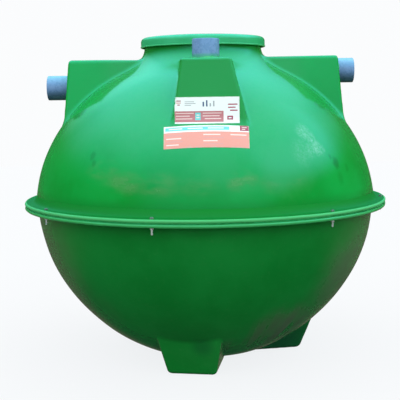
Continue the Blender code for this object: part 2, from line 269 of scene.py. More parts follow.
# Printed films: ground colours and blocks in mm from the upper left corner, (left, right, top, bottom, ink)
FILM_WHITE = (0.80, 0.92, 0.92)
FILM_SALMON = (0.72, 0.29, 0.24)
PINK = (0.50, 0.17, 0.19)
ROSE = (0.66, 0.30, 0.28)
PALE = (0.80, 0.68, 0.64)
TEAL = (0.14, 0.60, 0.60)
INK = (0.05, 0.10, 0.22)
GREY = (0.36, 0.42, 0.45)
CRIMSON = (0.40, 0.06, 0.11)
SHEET_BLOCKS = (
    (7, 25, 13, 17, CRIMSON), (7, 25, 21, 25, ROSE), (11, 21, 29, 33, CRIMSON), (40, 78, 17, 20, GREY),
    (40, 84, 24, 27, GREY), (40, 66, 31, 34, GREY), (112, 118, 19, 38, INK), (126, 132, 13, 38, INK),
    (140, 146, 25, 38, GREY), (154, 160, 16, 38, GREY), (0, 196, 56, 100, PINK), (4, 76, 63, 66, PALE),
    (4, 60, 74, 77, PALE), (4, 70, 85, 88, PALE), (112, 188, 63, 66, PALE), (112, 180, 74, 77, PALE),
    (120, 186, 85, 88, PALE), (82, 104, 62, 92, TEAL), (87, 99, 70, 74, PALE), (87, 99, 80, 84, PALE),
    (214, 252, 28, 33, CRIMSON), (214, 244, 40, 45, CRIMSON), (222, 252, 52, 57, CRIMSON),
    (210, 234, 76, 92, CRIMSON), (216, 228, 82, 86, FILM_WHITE),
)
BANNER_BLOCKS = (
    (0, 341, 0, 24, FILM_WHITE), (6, 262, 5, 18, TEAL), (20, 74, 9, 13, PALE), (96, 156, 9, 13, PALE),
    (176, 240, 9, 13, PALE), (304, 341, 0, 20, CRIMSON), (312, 332, 5, 8, PALE),
    (312, 326, 12, 15, PALE), (10, 74, 34, 38, ROSE), (10, 70, 46, 50, PALE), (10, 76, 58, 62, ROSE),
    (10, 60, 70, 74, PALE), (158, 226, 34, 38, PALE), (158, 240, 46, 50, ROSE),
    (158, 214, 58, 62, PALE), (158, 236, 70, 74, ROSE), (266, 330, 34, 38, PALE),
    (270, 326, 46, 50, ROSE),
)

# Light: linear colours of the surroundings as the matt and the glossy surfaces see them
SOFT_SKY = (1.50, 1.50, 1.50)
SOFT_GROUND = (0.22, 0.22, 0.20)
FRONT_SHARE = 0.40
RIGHT_SHARE = 0.13
GLOSS_SKY = (0.58, 3.20, 3.90)
GLOSS_WINDOW = (0.20, 0.70, 0.62)
WINDOW_TOWARDS = (-0.370, 0.794, 0.485)
GLOSS_BACK = (0.05, 0.20, 0.06)
RIGHT_TOWARDS = (0.985, -0.174, 0.0)
GLOSS_SIDE = (0.02, 0.62, 0.16)
SIDE_TOWARDS = (0.956, 0.274, 0.105)
GLOSS_HORIZON = (0.03, 0.07, 0.03)
GLOSS_GROUND = (0.03, 0.045, 0.03)
GLOSS_REAR = (0.17, 0.15, 0.12)
GLOSS_PIT = (0.020, 0.060, 0.040)
BACKDROP = (0.965, 0.975, 0.985)

FLOOR_REACH = 12.0
FLOOR_COLOUR = (0.09, 0.09, 0.09, 1.0)
FLOOR_GLOW = (0.96, 0.98, 1.0, 1.0)

# Slow waves in the moulded surface
WAVE_COUNT = 14
WAVE_HEIGHT_PER_METRE = 0.0009
WAVE_FADE = 0.1


def make_waves():
    """Waves as (wave vector, phase, height), longer ones higher."""
    rng = np.random.default_rng(7)
    waves = []
    for _ in range(WAVE_COUNT):
        direction = rng.normal(size=3)
        direction /= np.linalg.norm(direction)
        length = rng.uniform(0.16, 0.7)
        phase = rng.uniform(0, math.tau)
        waves.append((direction * math.tau / length, phase, WAVE_HEIGHT_PER_METRE * length))
    return waves


WAVES = make_waves()


def swell(x, y, z):
    total = np.zeros_like(x)
    for vector, phase, height in WAVES:
        total += height * np.sin(vector[0] * x + vector[1] * y + vector[2] * z + phase)
    return total


# Distances to a surface, below zero inside the body


def join_round(a, b, radius):
    """The union of two bodies with a fillet between them."""
    u = np.maximum(radius - a, 0.0)
    v = np.maximum(radius - b, 0.0)
    return np.maximum(radius, np.minimum(a, b)) - np.sqrt(u * u + v * v)


def join_oval(a, b, spread, rise):
    """The union of two bodies with a fillet that reaches further from one body than from the other."""
    u = np.maximum(1.0 - a / spread, 0.0)
    v = np.maximum(1.0 - b / rise, 0.0)
    return spread * (np.maximum(1.0, np.minimum(a / spread, b / rise)) - np.sqrt(u * u + v * v))


def meet_round(gaps, radius):
    """What several bodies have in common, with its edges rounded."""
    deepest = gaps[0]
    for gap in gaps[1:]:
        deepest = np.maximum(deepest, gap)
    over = sum(np.maximum(gap + radius, 0.0) ** 2 for gap in gaps)
    return np.minimum(deepest + radius, 0.0) + np.sqrt(over) - radius


def meet_soft(a, b, span):
    h = np.maximum(span - np.abs(a - b), 0.0) / span
    return np.maximum(a, b) + h * h * span / 4


def dome_gap(rho, z, inset):
    radius = DOME_RADIUS - inset
    rise = DOME_RISE - inset
    up = z - DOME_CENTRE
    near = np.sqrt((rho / radius) ** 2 + (up / rise) ** 2)
    steep = np.sqrt((rho / radius ** 2) ** 2 + (up / rise ** 2) ** 2)
    return near * (near - 1.0) / np.maximum(steep, 1e-6)


def flare(dome, neck):
    """Joins the dome and the neck by a hollow curve that is wider on the dome."""
    s = dome / FLARE_UP_NECK
    t = neck / FLARE_OUT_DOME
    blend = np.maximum(1.0 - np.abs(s - t), 0.0)
    lean = np.clip((s - t + 1.0) / 2.0, 0.0, 1.0)
    scale = FLARE_UP_NECK + (FLARE_OUT_DOME - FLARE_UP_NECK) * lean
    return (np.minimum(s, t) - blend * blend / 4.0) * scale


def along_and_across(x, y, bearing):
    a = math.radians(bearing)
    return x * math.sin(a) - y * math.cos(a), x * math.cos(a) + y * math.sin(a)


def seat_gap(x, y, z, side, inset):
    bearing, top = SEATS[side]
    shift, lean = (FRONT_SEAT_SHIFT, FRONT_SEAT_LEAN) if side == "front" else (0.0, 0.0)
    along, across = along_and_across(x, y, bearing)
    across = across - shift
    drop = top - z
    gaps = [
        z - top + inset,
        (along - SEAT_FACE + inset - drop * SEAT_FACE_DRAFT) / math.hypot(1, SEAT_FACE_DRAFT),
    ]
    for sign in (-1, 1):
        draft = SEAT_SIDE_DRAFT + sign * lean
        gaps.append((sign * across - SEAT_HALF_WIDTH + inset - drop * draft) / math.hypot(1, draft))
    return np.maximum(meet_round(gaps, SEAT_EDGE - inset), SEAT_INNER_END - along)


def upper_solid(x, y, z, inset):
    rho = np.hypot(x, y)
    neck_radius = NECK_RADIUS - (NECK_WALL if inset else 0.0)
    gap = flare(dome_gap(rho, z, inset), rho - neck_radius)
    for side in SEATS:
        gap = join_round(gap, seat_gap(x, y, z, side, inset), SEAT_FILLET + inset)
    return gap


def upper_outside(x, y, z):
    gap = upper_solid(x, y, z, 0.0)
    gap = gap + swell(x, y, z) * np.clip((z - 0.775) / WAVE_FADE, 0, 1)
    slab = meet_round((z - UPPER_TOP, np.hypot(x, y) - SLAB_RADIUS), SLAB_EDGE)
    gap = join_oval(gap, slab, ROOT_SPREAD, ROOT_RISE)
    return np.maximum(gap, np.maximum(z - NECK_RIM - RIM_MARGIN, UPPER_LOW - OUTER_MARGIN - z))


def upper_inside(x, y, z):
    gap = upper_solid(x, y, z, WALL)
    return np.maximum(gap, np.maximum(z - NECK_RIM - 2 * RIM_MARGIN, UPPER_LOW - INNER_MARGIN - z))


def bowl_gap(rho, z, inset):
    radius = BOWL_RADIUS - inset
    depth = BOWL_DEPTH - inset
    out = np.maximum(rho, 1e-6) / radius
    down = np.maximum(BOWL_CENTRE - z, 1e-6) / depth
    size = (out ** BOWL_POWER + down ** BOWL_POWER) ** (1 / BOWL_POWER)
    rise = np.hypot(out ** (BOWL_POWER - 1) / radius, down ** (BOWL_POWER - 1) / depth)
    return (size - 1.0) / np.maximum(size ** (1 - BOWL_POWER) * rise, 1e-6)


def foot_gap(x, y, z, bearing, inset, sole):
    along, across = along_and_across(x, y, bearing)
    half_width = FOOT_HALF_WIDTH - inset + z * FOOT_SIDE_DRAFT
    gaps = (
        sole - z,
        (along - FOOT_OUTER + inset - z * FOOT_FACE_DRAFT) / math.hypot(1, FOOT_FACE_DRAFT),
        (np.abs(across) - half_width) / math.hypot(1, FOOT_SIDE_DRAFT),
        (FOOT_INNER + inset - z * FOOT_SIDE_DRAFT - along) / math.hypot(1, FOOT_SIDE_DRAFT),
    )
    return meet_round(gaps, FOOT_EDGE - inset)


def lower_solid(x, y, z, inset, sole):
    rho = np.hypot(x, y)
    gap = meet_soft(bowl_gap(rho, z, inset), BASE_HEIGHT + inset - z, BASE_BLEND)
    for bearing in FOOT_BEARINGS:
        foot = np.maximum(foot_gap(x, y, z, bearing, inset, sole), z - 0.3)
        gap = join_round(gap, foot, FOOT_FILLET + inset)
    return gap


def lower_outside(x, y, z):
    gap = lower_solid(x, y, z, 0.0, 0.0)
    share = np.clip((0.66 - z) / WAVE_FADE, 0, 1) * np.clip((z - 0.05) / WAVE_FADE, 0, 1)
    gap = gap + swell(x, y, z) * share
    slab = meet_round((LOWER_LOW - z, np.hypot(x, y) - SLAB_RADIUS), SLAB_EDGE)
    gap = join_round(gap, slab, ROOT_FILLET)
    return np.maximum(gap, z - LOWER_TOP - OUTER_MARGIN)


def lower_inside(x, y, z):
    return np.maximum(lower_solid(x, y, z, BOWL_WALL, FOOT_SOLE), z - LOWER_TOP - INNER_MARGIN)


# Meshing of those distances


def slope_of(field, points, step=0.0004):
    out = np.empty_like(points)
    for axis in range(3):
        d = np.zeros(3)
        d[axis] = step
        out[:, axis] = (field(*(points + d).T) - field(*(points - d).T)) / (2 * step)
    return out


def pull_to(field, points, rounds):
    """Moves points onto the surface along its slope."""
    for _ in range(rounds):
        slope = slope_of(field, points)
        move = field(*points.T) / np.maximum((slope ** 2).sum(1), 0.05)
        points = points - np.clip(move, -0.01, 0.01)[:, None] * slope
    return points


def settle(field, start, direction, reach):
    """Moves points from outside a body along a direction until they meet its surface."""
    direction = np.asarray(direction, float)
    near = np.zeros(len(start))
    far = np.full(len(start), reach)
    for _ in range(30):
        middle = (near + far) / 2
        outside = field(*(start + middle[:, None] * direction).T) > 0.0
        near = np.where(outside, middle, near)
        far = np.where(outside, far, middle)
    return start + far[:, None] * direction


def surface_net(field, low, high, cell):
    """Points and quads of the surface: one point in each grid cell that the surface crosses."""
    axes = [np.arange(a, b + cell, cell) for a, b in zip(low, high)]
    grid = np.meshgrid(*axes, indexing="ij")
    value = field(*grid)
    inside = value < 0.0
    shape = [n - 1 for n in value.shape]
    total = np.zeros((*shape, 3))
    count = np.zeros(shape)
    crossings = []
    for axis in range(3):
        first = tuple(slice(None, -1) if i == axis else slice(None) for i in range(3))
        second = tuple(slice(1, None) if i == axis else slice(None) for i in range(3))
        cross = inside[first] != inside[second]
        share = np.where(cross, value[first] / np.where(cross, value[first] - value[second], 1.0), 0.0)
        crossings.append((cross, inside[first]))
        others = [i for i in range(3) if i != axis]
        for du, dv in ((0, 0), (0, 1), (1, 0), (1, 1)):
            pick = [slice(None)] * 3
            pick[others[0]] = slice(du, shape[others[0]] + du)
            pick[others[1]] = slice(dv, shape[others[1]] + dv)
            pick = tuple(pick)
            hit = cross[pick]
            count += hit
            for i in range(3):
                where = grid[i][first][pick] + (share[pick] * cell if i == axis else 0.0)
                total[..., i] += np.where(hit, where, 0.0)
    busy = count > 0
    index = np.full(shape, -1, np.int64)
    index[busy] = np.arange(busy.sum())
    faces = [net_quads(index, shape, axis, *crossings[axis]) for axis in range(3)]
    return total[busy] / count[busy][:, None], np.concatenate(faces)


def net_quads(index, shape, axis, cross, low_inside):
    """One quad round each grid edge of an axis that the surface crosses, facing out."""
    u, v = (axis + 1) % 3, (axis + 2) % 3
    where = np.argwhere(cross)
    keep = (where[:, u] > 0) & (where[:, v] > 0) & (where[:, u] < shape[u]) & (where[:, v] < shape[v])
    where = where[keep]
    outward = low_inside[cross][keep]
    corners = []
    for du, dv in ((-1, -1), (0, -1), (0, 0), (-1, 0)):
        at = where.copy()
        at[:, u] += du
        at[:, v] += dv
        corners.append(index[at[:, 0], at[:, 1], at[:, 2]])
    quads = np.stack(corners, 1)
    quads[~outward] = quads[~outward][:, ::-1]
    return quads


def relax(points, quads, field, rounds):
    """Evens out the spacing of the points and keeps them on the surface."""
    pairs = np.concatenate([quads[:, [i, (i + 1) % 4]] for i in range(4)])
    for _ in range(rounds):
        total = np.zeros_like(points)
        count = np.zeros(len(points))
        for a, b in ((0, 1), (1, 0)):
            np.add.at(total, pairs[:, a], points[pairs[:, b]])
            np.add.at(count, pairs[:, a], 1)
        points = pull_to(field, points + 0.6 * (total / count[:, None] - points), 2)
    return points


def add_mesh(name, points, faces):
    mesh = bpy.data.meshes.new(name)
    mesh.from_pydata(points, [], faces)
    mesh.update()
    obj = bpy.data.objects.new(name, mesh)
    bpy.context.scene.collection.objects.link(obj)
    return obj


def net_object(name, field, low_z, high_z, cell):
    reach = FLANGE_RADIUS + 0.02
    points, quads = surface_net(field, (-reach, -reach, low_z), (reach, reach, high_z), cell)
    points = pull_to(field, points, 3)
    points = relax(points, quads, field, 3)
    return add_mesh(name, points.tolist(), quads.tolist())


# Meshes from outlines


def ring_quads(count, steps, closed, start=0):
    """Quads between neighbouring rings of points, and between the last and the first if closed."""
    faces = []
    for k in range(count if closed else count - 1):
        a = start + k * steps
        b = start + (k + 1) % count * steps
        for i in range(steps):
            j = (i + 1) % steps
            faces.append((a + i, a + j, b + j, b + i))
    return faces


def ring_mesh(name, rings, closed):
    """Joins rings of points by quads; an open stack is capped at both ends."""
    steps = len(rings[0])
    points = [p for ring in rings for p in ring]
    faces = ring_quads(len(rings), steps, closed)
    if not closed:
        faces.append(tuple(range(steps))[::-1])
        faces.append(tuple(range(len(points) - steps, len(points))))
    return add_mesh(name, points, faces)


def lathe(name, profile, steps, closed=True, wobble=None):
    """Spins an outline of (radius, height) points about Z, counter-clockwise in (r, z) to face out."""
    rings = []
    for radius, height in profile:
        ring = []
        for i in range(steps):
            angle = math.tau * i / steps
            r, z = (radius, height) if wobble is None else wobble(radius, height, angle)
            ring.append((r * math.cos(angle), r * math.sin(angle), z))
        rings.append(ring)
    return ring_mesh(name, rings, closed)


def arc_points(centre_r, centre_z, radius, start, end, count):
    """Points of an arc in an outline, angles in degrees from +r towards +z."""
    points = []
    for i in range(count + 1):
        angle = math.radians(start + (end - start) * i / count)
        points.append((centre_r + radius * math.cos(angle), centre_z + radius * math.sin(angle)))
    return points


def rod(name, radius, low, high, steps):
    """A plain round bar along Z, for cutting."""
    return lathe(name, [(radius, low), (radius, high)], steps, closed=False)


def bake(obj):
    """Replaces an object's mesh by what its modifiers make of it."""
    bpy.context.view_layer.update()
    mesh = bpy.data.meshes.new_from_object(obj.evaluated_get(bpy.context.evaluated_depsgraph_get()))
    obj.modifiers.clear()
    obj.data = mesh


def carve(obj, steps):
    """Applies (other object, operation) pairs to an object and deletes the others."""
    for other, operation in steps:
        cut = obj.modifiers.new(other.name, "BOOLEAN")
        cut.operation = operation
        cut.solver = "MANIFOLD"
        cut.object = other
    bake(obj)
    for other, _ in steps:
        bpy.data.objects.remove(other)


def smooth(obj, sharp_degrees):
    obj.data.shade_smooth()
    obj.data.set_sharp_from_angle(angle=math.radians(sharp_degrees))
    return obj


def slab_cutter(name, low, high):
    """A square slab wider than the flange, for cutting."""
    return rod(name, 2 * FLANGE_RADIUS, low, high, 4)


def put(obj, place, turn=0.0):
    """Places an object and turns it about Y."""
    obj.location = place
    obj.rotation_euler.y = turn
    return obj


def bolt_spot(bearing):
    angle = math.radians(bearing)
    return Vector((BOLT_CIRCLE * math.sin(angle), -BOLT_CIRCLE * math.cos(angle), 0.0))


def bolt_drills(low, high):
    drills = []
    for number, bearing in enumerate(BOLT_BEARINGS, 1):
        drill = rod(f"drill_{number}", BOLT_HOLE_RADIUS, low - DRILL_MARGIN, high + DRILL_MARGIN, 24)
        drills.append((put(drill, bolt_spot(bearing)), "DIFFERENCE"))
    return drills


def trim_wobble(seed):
    """Lets a rolled edge run in and out and up and down as it came off the mould, never past its radius."""
    rng = np.random.default_rng(seed)
    waves = [(k, rng.uniform(0, math.tau), rng.uniform(0.2, 0.5)) for k in (2, 3, 5, 8, 13, 21, 34)]

    def shift(radius, height, angle):
        edge = max(0.0, (radius - WOBBLE_FROM) / (FLANGE_RADIUS - WOBBLE_FROM))
        wave = sum(size * math.sin(k * angle + phase) for k, phase, size in waves)
        sway = sum(size * math.cos(k * angle + 2 * phase) for k, phase, size in waves)
        inward = edge * WOBBLE_IN * max(0.0, 0.6 + wave)
        return radius - inward, height + edge * WOBBLE_UP * sway

    return shift


def rolled_edge(low, top):
    """Outline of a flange's outer part, whose edge is rolled to a half round."""
    centre_r = FLANGE_RADIUS - ROLL_RADIUS
    arc = arc_points(centre_r, (low + top) / 2, ROLL_RADIUS, -90, 90, 16)
    return [(LIP_INNER_RADIUS, low)] + arc + [(LIP_INNER_RADIUS, top)]


def make_upper_moulding():
    low, top = UPPER_LOW, UPPER_TOP
    shell = net_object("dome_moulding", upper_outside, low - GRID_MARGIN, NECK_RIM + GRID_MARGIN, CELL)
    above = NECK_RIM + 2 * GRID_MARGIN
    inner = net_object("dome_hollow", upper_inside, low - HOLLOW_MARGIN, above, INNER_CELL)
    lip = lathe("upper_lip", rolled_edge(low, top), LIP_STEPS, wobble=trim_wobble(3))
    bore = PIPE_RADIUS + BORE_GAP
    inlet = rod("inlet_bore", bore, *SIDE_BORE, PIPE_STEPS)
    outlet = rod("outlet_bore", bore, *SIDE_BORE, PIPE_STEPS)
    vent = rod("vent_bore", bore, *VENT_BORE, PIPE_STEPS)
    carve(shell, [
        (slab_cutter("below", low - CUT_DEPTH, low + CUT_LAP), "DIFFERENCE"),
        (slab_cutter("above", NECK_RIM, NECK_RIM + CUT_DEPTH), "DIFFERENCE"),
        (lip, "UNION"),
        (inner, "DIFFERENCE"),
        (put(inlet, (0.0, 0.0, INLET_HEIGHT), math.pi / 2), "DIFFERENCE"),
        (put(outlet, (0.0, 0.0, OUTLET_HEIGHT), -math.pi / 2), "DIFFERENCE"),
        (put(vent, (VENT_X, VENT_Y, 0.0)), "DIFFERENCE"),
    ] + bolt_drills(low, top))
    return smooth(shell, 40)


def make_lower_moulding():
    low, top = LOWER_LOW, LOWER_TOP
    shell = net_object("bowl_moulding", lower_outside, -FLOOR_MARGIN, top + GRID_MARGIN, CELL)
    inner = net_object("bowl_hollow", lower_inside, -FLOOR_MARGIN, top + 2 * GRID_MARGIN, INNER_CELL)
    lip = lathe("lower_lip", rolled_edge(low, top), LIP_STEPS, wobble=trim_wobble(4))
    carve(shell, [
        (slab_cutter("above", top - CUT_LAP, top + CUT_DEPTH), "DIFFERENCE"),
        (lip, "UNION"),
        (inner, "DIFFERENCE"),
    ] + bolt_drills(low, top))
    return smooth(shell, 40)


def lid_outline():
    """The lid's section: a low crown, a rounded edge and a skirt that ends in a rolled lip."""
    lip = 0.0034
    edge = 0.020
    seat = NECK_RIM + 0.0003
    skirt = LID_RADIUS - LID_WALL
    low = LID_SKIRT_BOTTOM
    edge_top = LID_CROWN - 0.0113
    crown = ((0.240, 0.0085), (0.180, 0.0045), (0.120, 0.0020), (0.060, 0.0005), (0.004, 0.0))
    under = ((0.004, 0.0), (0.120, 0.0020))
    outline = [(skirt, low)]
    outline += arc_points(LID_RADIUS + 0.0025 - lip, low + lip, lip, -80, 75, 8)
    outline += [(LID_RADIUS, low + 2 * lip + 0.0022)]
    outline += arc_points(LID_RADIUS - edge, edge_top - edge, edge, 0, 84, 9)
    outline += [(radius, LID_CROWN - drop) for radius, drop in crown]
    outline += [(radius, LID_CROWN - drop - LID_WALL) for radius, drop in under]
    return outline + [(NECK_RADIUS - 0.020, seat), (skirt - 0.007, seat), (skirt, seat - 0.010)]


def make_lid():
    return smooth(lathe("lid_moulding", lid_outline(), LID_STEPS), 35)


def make_pipe(name, length):
    """An open pipe along +Z from its origin, its outer end chamfered."""
    inner, outer = PIPE_RADIUS - PIPE_WALL, PIPE_RADIUS
    outline = [(inner, 0.0), (outer, 0.0), (outer, length - 0.0022), (outer - 0.0006, length - 0.0008)]
    outline += [(outer - 0.0018, length), (inner + 0.0008, length), (inner, length - 0.0008)]
    return smooth(lathe(name, outline, PIPE_STEPS), 35)


def make_pipes():
    low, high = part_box("inlet_pipe")
    inlet = put(make_pipe("inlet_stub", high.x - low.x), (low.x, 0.0, INLET_HEIGHT), math.pi / 2)
    low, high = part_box("outlet_pipe")
    outlet = put(make_pipe("outlet_stub", high.x - low.x), (high.x, 0.0, OUTLET_HEIGHT), -math.pi / 2)
    low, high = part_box("vent_pipe")
    return inlet, outlet, put(make_pipe("vent_stub", high.z - low.z), (VENT_X, VENT_Y, low.z))


def make_sealant():
    """The strip of green putty between the flanges, squeezed out unevenly at its outer side."""
    low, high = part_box("joint_seal")[0].z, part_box("joint_seal")[1].z
    rng = np.random.default_rng(11)
    waves = [(k, rng.uniform(0, math.tau), 1.0 / math.sqrt(k)) for k in (3, 7, 12, 19, 31, 47, 71)]

    def squeeze(radius, height, angle):
        out = sum(size * math.sin(k * angle + phase) for k, phase, size in waves)
        return radius + (0.0008 * out if radius > SEAL_INNER else 0.0), height

    outline = [(SEAL_INNER, low), (SEAL_OUTER, low), (SEAL_BULGE, (low + high) / 2)]
    outline += [(SEAL_OUTER, high), (SEAL_INNER, high)]
    seal = lathe("sealant_strip", outline, LIP_STEPS, wobble=squeeze)
    carve(seal, bolt_drills(low, high))
    return smooth(seal, 50)


def make_bead(name, spot, axis):
    """The fillet of resin round a pipe where it comes out of its seat."""
    axis = np.asarray(axis, float)
    side = np.array([0.0, 1.0, 0.0])
    third = np.cross(axis, side)
    rng = np.random.default_rng(len(name))
    waves = [(k, rng.uniform(0, math.tau), 0.10) for k in (2, 3, 5, 9, 14)]
    angles = np.arange(BEAD_STEPS) * math.tau / BEAD_STEPS
    swing = 1.0 + sum(size * np.sin(k * angles + phase) for k, phase, size in waves)
    section = []
    for q in np.linspace(0, math.pi / 2, 8):
        section.append((BEAD_SIZE * (1 - math.cos(q)), BEAD_SIZE * (1 - math.sin(q))))
    section += [(BEAD_SIZE, -BEAD_SUNK), (0.0, -BEAD_SUNK)]
    spoke = np.cos(angles)[:, None] * side + np.sin(angles)[:, None] * third
    rings = []
    for out, rise in section:
        radius = PIPE_RADIUS + 0.0001 + out * swing
        start = np.asarray(spot) + spoke * radius[:, None] + axis * 0.12
        foot = settle(upper_outside, start, -axis, 0.2)
        lift = rise * swing if rise > 0 else np.full(BEAD_STEPS, rise)
        rings.append([tuple(p) for p in foot + axis * lift[:, None]])
    return smooth(fix_outward(ring_mesh(name, rings[::-1], closed=True)), 50)


def fix_outward(obj):
    bm = bmesh.new()
    bm.from_mesh(obj.data)
    bmesh.ops.recalc_face_normals(bm, faces=bm.faces)
    bm.to_mesh(obj.data)
    bm.free()
    return obj


def make_film(name, box, arch):
    """A thin printed film stuck on the front, laid out as seen along +Y."""
    left, right, top, bottom = box
    u, v = np.meshgrid(np.linspace(0, 1, FILM_COLUMNS + 1), np.linspace(0, 1, FILM_ROWS + 1))
    x = left + u * (right - left)
    z = top + v * (bottom - top) - arch * (2 * u - 1) ** 2
    start = np.stack([x.ravel(), np.full(x.size, -0.9), z.ravel()], 1)
    spots = settle(upper_outside, start, (0.0, 1.0, 0.0), 0.6)
    slope = slope_of(upper_outside, spots)
    slope /= np.linalg.norm(slope, axis=1)[:, None]
    points = np.concatenate([spots + slope * FILM_PROUD, spots - slope * FILM_SUNK])
    index = np.arange(x.size).reshape(x.shape)
    front = np.stack([index[1:, :-1], index[1:, 1:], index[:-1, 1:], index[:-1, :-1]], -1).reshape(-1, 4)
    back = front[:, ::-1] + x.size
    rim = np.concatenate([index[0, :-1], index[:-1, -1], index[-1, :0:-1], index[:0:-1, 0]])
    after = np.roll(rim, -1)
    edge = np.stack([rim, after, after + x.size, rim + x.size], -1)
    film = add_mesh(name, points.tolist(), np.concatenate([front, back, edge]).tolist())
    return smooth(fix_outward(film), 50)


def hexagon(angle):
    """How far a hexagon's edge is from its middle, for a corner at one."""
    return math.cos(math.pi / 6) / math.cos(angle % (math.pi / 3) - math.pi / 6)


def bolt_ring(height, reach):
    """A ring of points round the axis, at one distance or at one that depends on their angle."""
    ring = []
    for i in range(BOLT_STEPS):
        angle = math.tau * i / BOLT_STEPS
        radius = reach(angle) if callable(reach) else reach
        ring.append((radius * math.cos(angle), radius * math.sin(angle), height))
    return ring


def hexagon_rings(low, high, chamfer_low):
    """Rings up a hexagon whose corners are turned off to a cone at the top, or at both ends."""
    flat = HEX_CORNER_RADIUS * math.cos(math.pi / 6) - 0.0002
    slope = math.tan(math.radians(60))
    depths = (0.0, 0.0003, 0.0006, 0.0009)

    def cut(height, depth):
        return bolt_ring(height, lambda a: min(flat + depth * slope, HEX_CORNER_RADIUS * hexagon(a)))

    rings = [bolt_ring(low, lambda a: HEX_CORNER_RADIUS * hexagon(a))]
    if chamfer_low:
        rings = [cut(low + depth, depth) for depth in depths]
    return rings + [cut(high - depth, depth) for depth in reversed(depths)]


def thread_radius(height, angle):
    """The screw thread: a ramp up and down once in each pitch, turned along the helix."""
    phase = (height / THREAD_PITCH - angle / math.tau) % 1.0
    ridge = min(1.0, max(0.0, 1.25 - 2.5 * abs(phase - 0.5)))
    return BOLT_RADIUS - THREAD_DEPTH * (1.0 - ridge)


def make_bolt(name):
    """A bolt from its threaded end up to its head, which stands on the upper washer."""
    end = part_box("flange_bolt_1")[0].z
    plain_from = LOWER_LOW + 0.004
    thread_from = end + 0.0008
    rings = [bolt_ring(end, 0.0027), bolt_ring(end + 0.0004, 0.0031)]
    steps = round((plain_from - end - 0.0008) / THREAD_PITCH * STEPS_PER_TURN)
    for i in range(steps + 1):
        height = thread_from + i * THREAD_PITCH / STEPS_PER_TURN
        rings.append(bolt_ring(height, lambda a, z=height: thread_radius(z, a)))
    head = UPPER_TOP + 0.0005 + WASHER_THICK
    top = head + HEAD_HEIGHT
    rings += [bolt_ring(plain_from + 0.0008, BOLT_RADIUS), bolt_ring(head, BOLT_RADIUS)]
    rings += [bolt_ring(head, 0.0060), bolt_ring(head + 0.0003, 0.0061)]
    rings += hexagon_rings(head + 0.0003, top, False)
    rings += [bolt_ring(top - 0.0001, 0.0050), bolt_ring(top - 0.0003, 0.0040)]
    return smooth(fix_outward(ring_mesh(name, rings, closed=False)), 28)


def make_nut(name):
    top = LOWER_LOW - 0.0005 - WASHER_THICK
    low = top - NUT_HEIGHT
    bore = BOLT_RADIUS + 0.0002
    chamfer = 0.0004
    rings = hexagon_rings(low, top, True)
    rings += [bolt_ring(top, bore + chamfer), bolt_ring(top - chamfer, bore)]
    rings += [bolt_ring(low + chamfer, bore), bolt_ring(low, bore + chamfer)]
    return smooth(fix_outward(ring_mesh(name, rings, closed=True)), 28)


def make_washers():
    """Sixteen flat washers, one above and one below the flange at each bolt, as one mesh."""
    points = []
    faces = []
    inner, outer = BOLT_RADIUS + 0.0003, WASHER_RADIUS
    bevel = 0.0003
    for bearing in BOLT_BEARINGS:
        centre = bolt_spot(bearing)
        for low in (UPPER_TOP + 0.0004, LOWER_LOW - 0.0004 - WASHER_THICK):
            high = low + WASHER_THICK
            section = [(inner, low), (outer - bevel, low), (outer, low + bevel)]
            section += [(outer, high - bevel), (outer - bevel, high), (inner, high)]
            faces += ring_quads(len(section), BOLT_STEPS, True, len(points))
            for radius, height in section:
                points += [(centre.x + x, centre.y + y, z) for x, y, z in bolt_ring(height, radius)]
    return smooth(fix_outward(add_mesh("flange_washers", points, faces)), 28)


def read(items, key, width=1, kind=float):
    """One property of all the items of a mesh as an array."""
    out = np.empty(len(items) * width, kind)
    items.foreach_get(key, out)
    return out.reshape(-1, width) if width > 1 else out


def true_normals(shell, outside, inside, reach=0.0015):
    """Shades the faces that lie on the outer or the inner surface by that surface's own slope."""
    mesh = shell.data
    points = read(mesh.vertices, "co", 3)
    corners = read(mesh.loops, "vertex_index", kind=np.int64)
    sizes = read(mesh.polygons, "loop_total", kind=np.int64)
    flat = np.repeat(read(mesh.polygons, "normal", 3), sizes, axis=0)
    face = np.repeat(np.arange(len(sizes)), sizes)
    normals = np.zeros((len(corners), 3))
    for field, side in ((outside, 1.0), (inside, -1.0)):
        slope = slope_of(field, points)
        slope *= side / np.maximum(np.linalg.norm(slope, axis=1), 1e-9)[:, None]
        near = np.abs(field(*points.T)) < reach
        good = near[corners] & ((slope[corners] * flat).sum(1) > 0.75)
        whole = np.bincount(face, weights=~good, minlength=len(sizes)) == 0
        pick = whole[face]
        normals[pick] = slope[corners][pick]
    mesh.normals_split_custom_set(normals.tolist())


def line_inside(shell, outside, inside, laminate):
    """Gives the faces nearer to the inner surface the bare laminate."""
    mesh = shell.data
    mesh.materials.append(laminate)
    x, y, z = read(mesh.polygons, "center", 3).T
    nearer = np.abs(inside(x, y, z)) < np.abs(outside(x, y, z))
    nearer &= np.hypot(x, y) < LIP_INNER_RADIUS + 0.012
    mesh.polygons.foreach_set("material_index", nearer.astype(np.int32))


def line_ledge(shell, dirt_and_shade):
    """Gives the top of the flange and the fillet above it the matt dirt and painted shade."""
    mesh = shell.data
    mesh.materials.append(dirt_and_shade)
    x, y, z = read(mesh.polygons, "center", 3).T
    index = read(mesh.polygons, "material_index", kind=np.int32)
    ledge = (z > UPPER_TOP - 0.001) & (z < UPPER_TOP + ROOT_RISE + 0.002)
    ledge &= np.hypot(x, y) < FLANGE_RADIUS - ROLL_RADIUS
    index[ledge & (index == 0)] = 2
    mesh.polygons.foreach_set("material_index", index)


# Materials


def feed(node, inputs):
    """Links the sockets among the values to a node's inputs, and sets the plain values on them."""
    for name, value in inputs.items():
        if isinstance(value, bpy.types.NodeSocket):
            node.id_data.links.new(value, node.inputs[name])
        else:
            node.inputs[name].default_value = value


